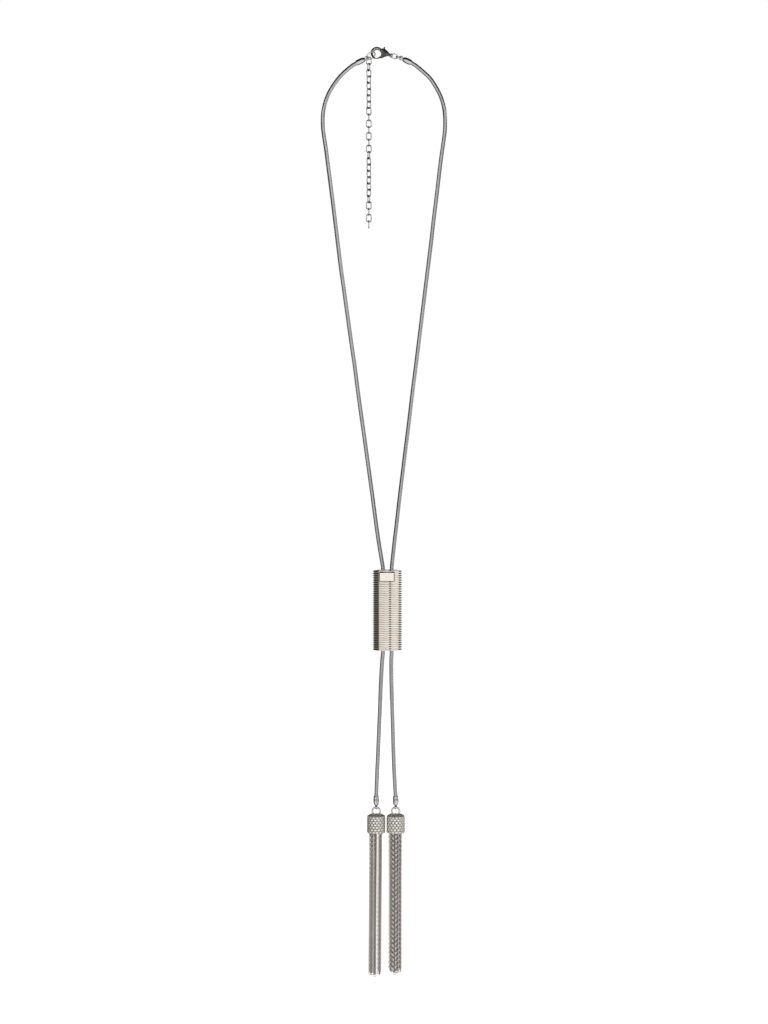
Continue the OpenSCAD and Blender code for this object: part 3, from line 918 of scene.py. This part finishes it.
class NECKLACE_OT_extender(bpy.types.Operator):
    """Link the extender chain"""

    bl_idname = "necklace.extender"
    bl_label = "Extender chain"

    def execute(self, context):
        sizes = context.scene.necklace_chains
        colours = context.scene.necklace_colours
        bend = (sizes.extender_width - sizes.extender_wire) / 2
        length = sizes.extender_pitch + 2 * sizes.extender_wire + LINK_GAP
        straight = (length - sizes.extender_width) / 2
        pattern = wire_ring("extender_link", bend, sizes.extender_wire / 2, 24, 10)
        edit(pattern)
        for way in (-1, 1):
            select_points(pattern, lambda co: co.z * way > MERGE)
            bpy.ops.transform.translate(value=(0, 0, way * straight))
        deselect()
        links = []
        for i in range(sizes.extender_links):
            piece = copied(pattern, f"link_{i}")
            turn = Matrix.Rotation(math.radians(90 * (i % 2) + twist_at(i)), 4, "Z")
            drop = Vector((0, 0, -i * sizes.extender_pitch))
            place(piece, Matrix.Translation(EXTENDER_AT + drop) @ turn)
            links.append(piece)
        bpy.data.objects.remove(pattern)
        chain = joined("extender_links", links)
        pitch = sizes.extender_pitch
        # Painted shade where each link hangs through the next
        mark_shade_and_patina(chain, lambda co: LINK_MIDDLE - abs(
            (EXTENDER_AT.z - co.z) / pitch % 1 - 0.5) * pitch / LINK_SHADE_REACH)
        finish = metal("extender_plating", colours.bright, 0.1, colours.shade_and_patina)
        dressed(chain, "root", finish, ["extender_chain"])
        return {"FINISHED"}


def hook_rows(sizes):
    """The hook's middle line and half width at each angle round it, between its two circles."""
    rows = []
    for degrees in (20, 35, 50, 70, 90, 110, 135, 160, 185, 210, 235, 255, 270):
        a = math.radians(degrees)
        out = Vector((math.cos(a), 0, math.sin(a)))
        towards = HOOK_HOLE_AT.dot(out)
        inner = towards + math.sqrt(
            towards ** 2 - HOOK_HOLE_AT.length_squared + sizes.hook_hole ** 2)
        middle = out * (inner + sizes.hook_radius) / 2
        rows.append((middle.x, middle.z, (sizes.hook_radius - inner) / 2))
    return rows


def clasp_place():
    """Turns the clasp's own plane into the necklace's and puts it in its place."""
    return Matrix.Translation(CLASP_PLACE) @ Matrix.Rotation(math.radians(CLASP_TILT), 4, "Y")


class NECKLACE_OT_clasp(bpy.types.Operator):
    """Model the lobster clasp's body and its sprung lever"""

    bl_idname = "necklace.clasp"
    bl_label = "Lobster clasp"

    def execute(self, context):
        sizes = context.scene.necklace_findings
        colours = context.scene.necklace_colours
        # Painted shade: marked parts of the clasp are mixed towards a very dark colour
        finish = metal("clasp_plating", colours.grey, 0.1, colours.painted_clasp_shade)
        body = lofted("clasp_shell", CLASP_BODY_ROWS, 32)
        for way in (-1, 1):
            edit(body)
            bpy.ops.mesh.bisect(plane_co=(0, way * CLASP_SIDE, 0), plane_no=(0, way, 0),
                                use_fill=True, clear_outer=True)
            clean(body)
        cut(body, pin("throat", sizes.hook_hole, 0.006, HOOK_HOLE_AT, 64))
        slot = add(bpy.ops.mesh.primitive_cube_add, "slot", size=1,
                   scale=(SLOT_WIDTH, sizes.slot, SLOT_HEIGHT), location=SLOT_AT)
        edit(slot)
        select_points(slot, lambda co: co.x > SLOT_AT.x and co.z > SLOT_AT.z)
        bpy.ops.transform.translate(value=(SLOT_LEAN, 0, 0))
        clean(slot)
        cut(body, slot)
        eye = wire_ring("eye", EYE_RADIUS, EYE_WIRE, 40)
        place(eye, Matrix.Translation(EYE_AT) @ Matrix.Diagonal((1, 1.6, 1, 1)))
        hook = tube("hook", hook_rows(sizes), 4, 6)
        place(hook, Matrix.Diagonal((1, 1.15, 1, 1)))
        parts = [eye, pin("rivet", RIVET_RADIUS, RIVET_LENGTH, PIVOT)]
        for way in (-1, 1):
            parts.append(ball("rivet_head", RIVET_HEAD, (1, 0.5, 1),
                              PIVOT + Vector((0, way * RIVET_HEAD_OUT, 0))))
        # Painted shade: eye, rivet and body painted very dark, for the dark that they mirror
        for part in parts + [body]:
            mark_shade_and_patina(part, lambda co: CLASP_SHADE)
        # Painted shade along the hook's outer and inner edges
        mark_shade_and_patina(hook, lambda co: self.shaded(sizes, co))
        shell = joined("clasp_shell", parts + [hook, body])
        place(shell, clasp_place())
        dressed(shell, "root", finish, ["clasp_body"])
        lever = tube("clasp_gate", LEVER_ROWS, 4, 6)
        flat = sizes.lever / 2 / max(row[2] for row in LEVER_ROWS)
        place(lever, Matrix.Diagonal((1, flat, 1, 1)))
        cut(lever, pin("hole", PIVOT_HOLE, 0.003, PIVOT))
        knob = ball("knob", KNOB_RADIUS, (1, 1.25, 1), KNOB_AT)
        lever = joined("clasp_gate", [knob, lever])
        # Painted shade: the lever and its knob painted very dark
        mark_shade_and_patina(lever, lambda co: LEVER_SHADE)
        place(lever, clasp_place())
        dressed(lever, "lever", finish, ["clasp_lever"])
        return {"FINISHED"}

    def shaded(self, sizes, co):
        """How much painted shade the clasp's hook gets, most along both its edges."""
        from_hole = math.hypot(co.x - HOOK_HOLE_AT.x, co.z - HOOK_HOLE_AT.z)
        outer = (math.hypot(co.x, co.z) - HOOK_SHADE_FROM) / HOOK_SHADE_EDGE
        inner = (sizes.hook_hole + HOOK_SHADE_EDGE - from_hole) / (HOOK_SHADE_EDGE / 2)
        return max(outer, inner)


class NECKLACE_OT_tassel_caps(bpy.types.Operator):
    """Cast the two grained caps, each with its ring on top"""

    bl_idname = "necklace.tassel_caps"
    bl_label = "Tassel caps"

    def execute(self, context):
        sizes = context.scene.necklace_findings
        colours = context.scene.necklace_colours
        finish = metal("cap_plating", colours.cap, 0.2, colours.shade_and_patina, metallic=0.55)
        for side, (low, high) in CAP_BOXES.items():
            middle = Vector(((low.x + high.x) / 2, 0, low.z + sizes.cap_height))
            cap = self.cup(sizes, middle)
            grains = self.grains(sizes, middle)
            ring = wire_ring("tassel_ring", *sizes.tassel_ring, 56, 16)
            place(ring, Matrix.Translation((middle.x, 0, high.z - sum(sizes.tassel_ring))))
            cap = joined(f"grained_cap_{side}", grains + [ring, cap])
            # Painted shade between the grains, fading up each grain, with less of it above the
            # shoulder
            shoulder = middle.z - sizes.cap_shoulder
            mark_shade_and_patina(cap, lambda co: (
                GRAIN_SHADE - self.proud(sizes, co - middle) / GRAIN_FADE)
                * (SHOULDER_SHARE if co.z > shoulder else 1))
            dressed(cap, f"tassel_{side}", finish, [f"tassel_cap_{side}"])
        return {"FINISHED"}

    def proud(self, sizes, co):
        """How far a point stands out of the rounded cup."""
        round_r = sizes.cap_shoulder
        away = math.hypot(co.x, co.y)
        beyond = away - (sizes.cap_radius - round_r)
        over = co.z + round_r
        if beyond > 0 and over > 0:
            return math.hypot(beyond, over) - round_r
        return max(away - sizes.cap_radius, co.z)

    def cup(self, sizes, top):
        """The plain cup under the grains, open at its foot."""
        outer = sizes.cap_radius
        inner = outer - CAP_WALL
        height = sizes.cap_height
        round_r = sizes.cap_shoulder
        profile = [(0, 0)]
        for turn in range(0, 91, 15):
            a = math.radians(turn)
            profile.append((outer - round_r + round_r * math.sin(a), -round_r * (1 - math.cos(a))))
        profile += [(outer, -height + CAP_RIM), (outer - CAP_RIM, -height),
                    (inner + RIM_CUT, -height), (inner, -height + RIM_CUT),
                    (inner, -CAP_TOP), (0, -CAP_TOP)]
        return turned("cup", profile, top, CAP_STEPS)

    def grains(self, sizes, top):
        """Domed grains that nearly touch: round the top, on the shoulder, and down the side in
        staggered rows."""
        low, deep = self.grain(sizes, SIDE_DEPTH), self.grain(sizes, SHOULDER_DEPTH)
        sink = sizes.grain_radius - sizes.grain_proud
        side_rows = sizes.grain_rows - 1
        step = (sizes.cap_height - sizes.grain_spread - FIRST_GRAINS) / (side_rows - 1)
        rows = [(deep, *TOP_GRAINS), (deep, sizes.grains, *SHOULDER_GRAINS)]
        rows += [(low, sizes.grains, sizes.cap_radius, -FIRST_GRAINS - i * step, 0, 1.0)
                 for i in range(side_rows)]
        grains = []
        for number, (pattern, count, away, height, lift, size) in enumerate(rows):
            for k in range(count):
                a = FULL_TURN * (k + 0.5 * (number % 2)) / count
                grain = copied(pattern, "grain")
                at = top + Vector((away * math.cos(a), away * math.sin(a), height))
                out = Matrix.Rotation(a, 4, "Z") @ Matrix.Rotation(math.radians(-lift), 4, "Y")
                place(grain, Matrix.Translation(at) @ out @ Matrix.Scale(size, 4)
                      @ Matrix.Translation((-sink, 0, 0)))
                grains.append(grain)
        bpy.data.objects.remove(low)
        bpy.data.objects.remove(deep)
        return grains

    def grain(self, sizes, depth):
        """A dome along x that reaches this deep into the cap."""
        dome = add(bpy.ops.mesh.primitive_ico_sphere_add, "grain", subdivisions=2,
                   radius=sizes.grain_radius)
        edit(dome)
        bpy.ops.mesh.bisect(plane_co=(sizes.grain_radius - sizes.grain_proud - depth, 0, 0),
                            plane_no=(1, 0, 0), use_fill=True, clear_inner=True)
        clean(dome)
        return dome


class NECKLACE_OT_tassel_chains(bpy.types.Operator):
    """Hang the strands of fine round-linked chain from the caps"""

    bl_idname = "necklace.tassel_chains"
    bl_label = "Tassel chains"

    def execute(self, context):
        sizes = context.scene.necklace_chains
        colours = context.scene.necklace_colours
        finish = metal("tassel_chain_plating", colours.tassel, 0.12, colours.shade_and_patina)
        cap_height = context.scene.necklace_findings.cap_height
        for side, rows in STRANDS.items():
            low, high = FRINGE_BOXES[side]
            cap_low, cap_high = CAP_BOXES[side]
            start = Vector(((cap_low.x + cap_high.x) / 2, 0, cap_low.z + cap_height * HEAD_DROP))
            end = Vector((low.x + high.x - start.x, 0, low.z))
            strands = [self.strand(sizes, row, start, end) for row in rows]
            head = turned("head", HEAD_PROFILE, start + Vector((0, 0, HEAD_RISE)), 32)
            bundle = joined(f"tassel_strands_{side}", strands + [head])
            # Painted shade deep inside the bundle of strands
            mark_shade_and_patina(bundle, lambda co: self.inside(co, start, end))
            dressed(bundle, f"tassel_{side}", finish, [f"tassel_fringe_{side}"])
        return {"FINISHED"}

    def inside(self, co, start, end):
        """How much painted shade a point gets from lying deep in the bundle."""
        middle = start.lerp(end, (start.z - co.z) / (start.z - end.z))
        return (BUNDLE_REACH - math.hypot(co.x - middle.x, co.y)) / BUNDLE_FADE

    def strand(self, sizes, row, start, end):
        """One strand of round links, each turned a quarter from the last."""
        x, y, order, turn, lift = row
        out = Vector((x, y, 0)) / 1000
        last = end + out + Vector((0, 0, lift / 1000 + sizes.rolo_outer / 2))
        count = math.ceil((start.z - last.z) / (2 * sizes.rolo_pitch))
        first = start + out
        first.z = last.z + (2 * count - 1) * sizes.rolo_pitch
        bow = Vector((x, y, 0)).normalized() * sizes.bow
        curve = route_curve("drop", [first, first.lerp(last, 0.33) - bow,
                                     first.lerp(last, 0.67) - bow, last])
        middle_r = (sizes.rolo_outer - sizes.rolo_wire) / 2
        links = []
        for k in range(2):
            link = add(bpy.ops.mesh.primitive_torus_add, "rolo_link", major_radius=middle_r,
                       minor_radius=sizes.rolo_wire / 2, major_segments=14, minor_segments=6)
            roll = Matrix.Rotation(math.radians(90 * (k + order) + turn), 4, "X")
            place(link, Matrix.Translation((k * sizes.rolo_pitch, 0, 0)) @ roll)
            links.append(link)
        pair = joined("strand", links)
        reach = sizes.rolo_outer / 2
        # Painted shade in each link's middle, lighter towards its rim
        mark_shade_and_patina(pair, lambda co: LINK_MIDDLE - LINK_LOSS * math.hypot(co.y, co.z) / reach)
        strung(pair, count, 2 * sizes.rolo_pitch, curve)
        return pair


class NECKLACE_OT_stage(bpy.types.Operator):
    """Lay the pale floor, light the studio and set up the camera"""

    bl_idname = "necklace.stage"
    bl_label = "Stage"

    def execute(self, context):
        sizes = context.scene.necklace_stage
        floor = add(bpy.ops.mesh.primitive_plane_add, "floor", size=sizes.floor_size,
                    location=(0, 0, sizes.floor_height))
        floor.data.materials.append(self.glowing_floor())
        floor.visible_glossy = False
        self.studio(context)
        deselect()
        bpy.ops.object.camera_add(
            location=(0, -sizes.camera_distance, sizes.camera_height), rotation=ALONG_Y)
        camera = bpy.context.object
        camera.name = "camera"
        camera.data.lens = sizes.lens
        camera.data.sensor_width = SENSOR_WIDTH
        camera.data.clip_start = 0.01
        context.scene.camera = camera
        context.scene.view_settings.view_transform = "Standard"
        return {"FINISHED"}

    def glowing_floor(self):
        """Pale floor that glows by painted emission, a little greyer under the necklace than out
        where it meets the backdrop.
        """
        pale = bpy.data.materials.new("pale_floor")
        pale.use_nodes = True
        tree = pale.node_tree
        coords = add_node(tree, "ShaderNodeTexCoord", (-900, 0))
        flat = add_node(tree, "ShaderNodeVectorMath", (-700, 0), {
            0: coords.outputs["Object"], 1: (1, 1, 0)}, operation="MULTIPLY")
        away = add_node(tree, "ShaderNodeVectorMath", (-500, 0), {
            0: flat.outputs["Vector"]}, operation="LENGTH")
        # Painted glow: the floor's emission rises from under the necklace outwards
        floor_glow = add_node(tree, "ShaderNodeMapRange", (-300, 0), {
            "Value": away.outputs["Value"], "From Min": 0.1, "From Max": 0.42,
            "To Min": 0.82, "To Max": 1.15}, interpolation_type="SMOOTHSTEP")
        surface = tree.nodes["Principled BSDF"]
        surface.inputs["Base Color"].default_value = (0.9, 0.9, 0.9, 1)
        surface.inputs["Roughness"].default_value = 0.9
        surface.inputs["Emission Color"].default_value = (1, 1, 1, 1)
        tree.links.new(floor_glow.outputs["Result"], surface.inputs["Emission Strength"])
        return pale

    def studio(self, context):
        """White behind the necklace, with light and dark panels round it that the metal mirrors."""
        world = bpy.data.worlds.new("studio")
        context.scene.world = world
        world.use_nodes = True
        tree = world.node_tree
        tree.nodes.clear()
        coords = add_node(tree, "ShaderNodeTexCoord", (-900, 0))
        split = add_node(tree, "ShaderNodeSeparateXYZ", (-700, 0), {
            "Vector": coords.outputs["Generated"]})
        flip = add_node(tree, "ShaderNodeMath", (-500, -100), {
            0: split.outputs["Y"], 1: -1}, operation="MULTIPLY")
        azimuth = add_node(tree, "ShaderNodeMath", (-300, 0), {
            0: split.outputs["X"], 1: flip.outputs[0]}, operation="ARCTAN2")
        share = add_node(tree, "ShaderNodeMath", (-100, 0), {
            0: azimuth.outputs[0], 1: 1 / FULL_TURN, 2: 0.5}, operation="MULTIPLY_ADD")
        rise = add_node(tree, "ShaderNodeMath", (-100, -300), {
            0: split.outputs["Z"], 1: 0.5, 2: 0.5}, operation="MULTIPLY_ADD")
        panels = self.ring(tree, FLOOR_PANELS, share)
        for shown, rows in ((LOW_SHARE, LOW_PANELS), (LEVEL_SHARE, LEVEL_PANELS),
                            (RAISED_SHARE, RAISED_PANELS), (UPPER_SHARE, UPPER_PANELS)):
            mix = add_node(tree, "ShaderNodeMix", (350, 150), {
                "Factor": self.ramp(tree, (100, -250), shown, rise), 6: panels,
                7: self.ring(tree, rows, share)}, data_type="RGBA")
            panels = mix.outputs[2]
        both = add_node(tree, "ShaderNodeMix", (550, 0), {
            "Factor": 1, 6: panels, 7: self.ramp(tree, (100, -550), STUDIO_HEIGHTS, rise),
        }, data_type="RGBA", blend_type="MULTIPLY")
        mirrored = add_node(tree, "ShaderNodeBackground", (700, 100), {"Color": both.outputs[2]})
        behind = add_node(tree, "ShaderNodeBackground", (700, -100), {"Color": (1, 1, 1, 1)})
        ray = add_node(tree, "ShaderNodeLightPath", (700, 400))
        choice = add_node(tree, "ShaderNodeMixShader", (950, 0), {
            "Fac": ray.outputs["Is Camera Ray"], 1: mirrored.outputs[0], 2: behind.outputs[0]})
        add_node(tree, "ShaderNodeOutputWorld", (1200, 0), {"Surface": choice.outputs[0]})

    def ring(self, tree, panels, share):
        """Panels all round the necklace, from rows of azimuth and brightness."""
        rows = [(azimuth / 360 + 0.5, tone) for azimuth, tone in panels]
        return self.ramp(tree, (100, 250), rows, share)

    def ramp(self, tree, place_at, rows, source):
        """A ramp of grey tones, read by a value."""
        node = add_node(tree, "ShaderNodeValToRGB", place_at, {"Fac": source.outputs[0]})
        fill_ramp(node.color_ramp, [(at, (tone, tone, tone)) for at, tone in rows])
        return node.outputs["Color"]


def fill_ramp(ramp, stops):
    """Sets a colour ramp to rows of place and colour."""
    first, *rest = stops
    while len(ramp.elements) > 1:
        ramp.elements.remove(ramp.elements[-1])
    ramp.elements[0].position = first[0]
    ramp.elements[0].color = (*first[1], 1)
    for position, colour in rest:
        element = ramp.elements.new(position)
        element.color = (*colour, 1)


OPERATORS = (
    NECKLACE_OT_snake_chains, NECKLACE_OT_slider, NECKLACE_OT_crimps, NECKLACE_OT_rings,
    NECKLACE_OT_extender, NECKLACE_OT_clasp, NECKLACE_OT_tassel_caps, NECKLACE_OT_tassel_chains,
    NECKLACE_OT_stage,
)


class NECKLACE_PT_panel(bpy.types.Panel):
    """Lists the steps that build the necklace"""

    bl_idname = "NECKLACE_PT_panel"
    bl_label = "Tassel necklace"
    bl_space_type = "VIEW_3D"
    bl_region_type = "UI"
    bl_category = "Necklace"

    def draw(self, context):
        for operator in OPERATORS:
            self.layout.operator(operator.bl_idname)


SETTINGS = {
    "necklace_chains": ChainSizes,
    "necklace_slider": SliderSizes,
    "necklace_findings": FindingSizes,
    "necklace_colours": FinishColours,
    "necklace_stage": StageSizes,
}


def register():
    """Registers the settings, the steps and the panel."""
    for group in SETTINGS.values():
        bpy.utils.register_class(group)
    for name, group in SETTINGS.items():
        setattr(bpy.types.Scene, name, bpy.props.PointerProperty(type=group))
    for operator in OPERATORS:
        bpy.utils.register_class(operator)
    bpy.utils.register_class(NECKLACE_PT_panel)


def unregister():
    """Takes back what register did."""
    bpy.utils.unregister_class(NECKLACE_PT_panel)
    for operator in reversed(OPERATORS):
        bpy.utils.unregister_class(operator)
    for name in SETTINGS:
        delattr(bpy.types.Scene, name)
    for group in reversed(tuple(SETTINGS.values())):
        bpy.utils.unregister_class(group)


def main():
    """Builds every piece and the stage."""
    register()
    bpy.ops.necklace.snake_chains()
    bpy.ops.necklace.slider()
    bpy.ops.necklace.crimps()
    bpy.ops.necklace.rings()
    bpy.ops.necklace.extender()
    bpy.ops.necklace.clasp()
    bpy.ops.necklace.tassel_caps()
    bpy.ops.necklace.tassel_chains()
    bpy.ops.necklace.stage()


if __name__ == "__main__":
    main()
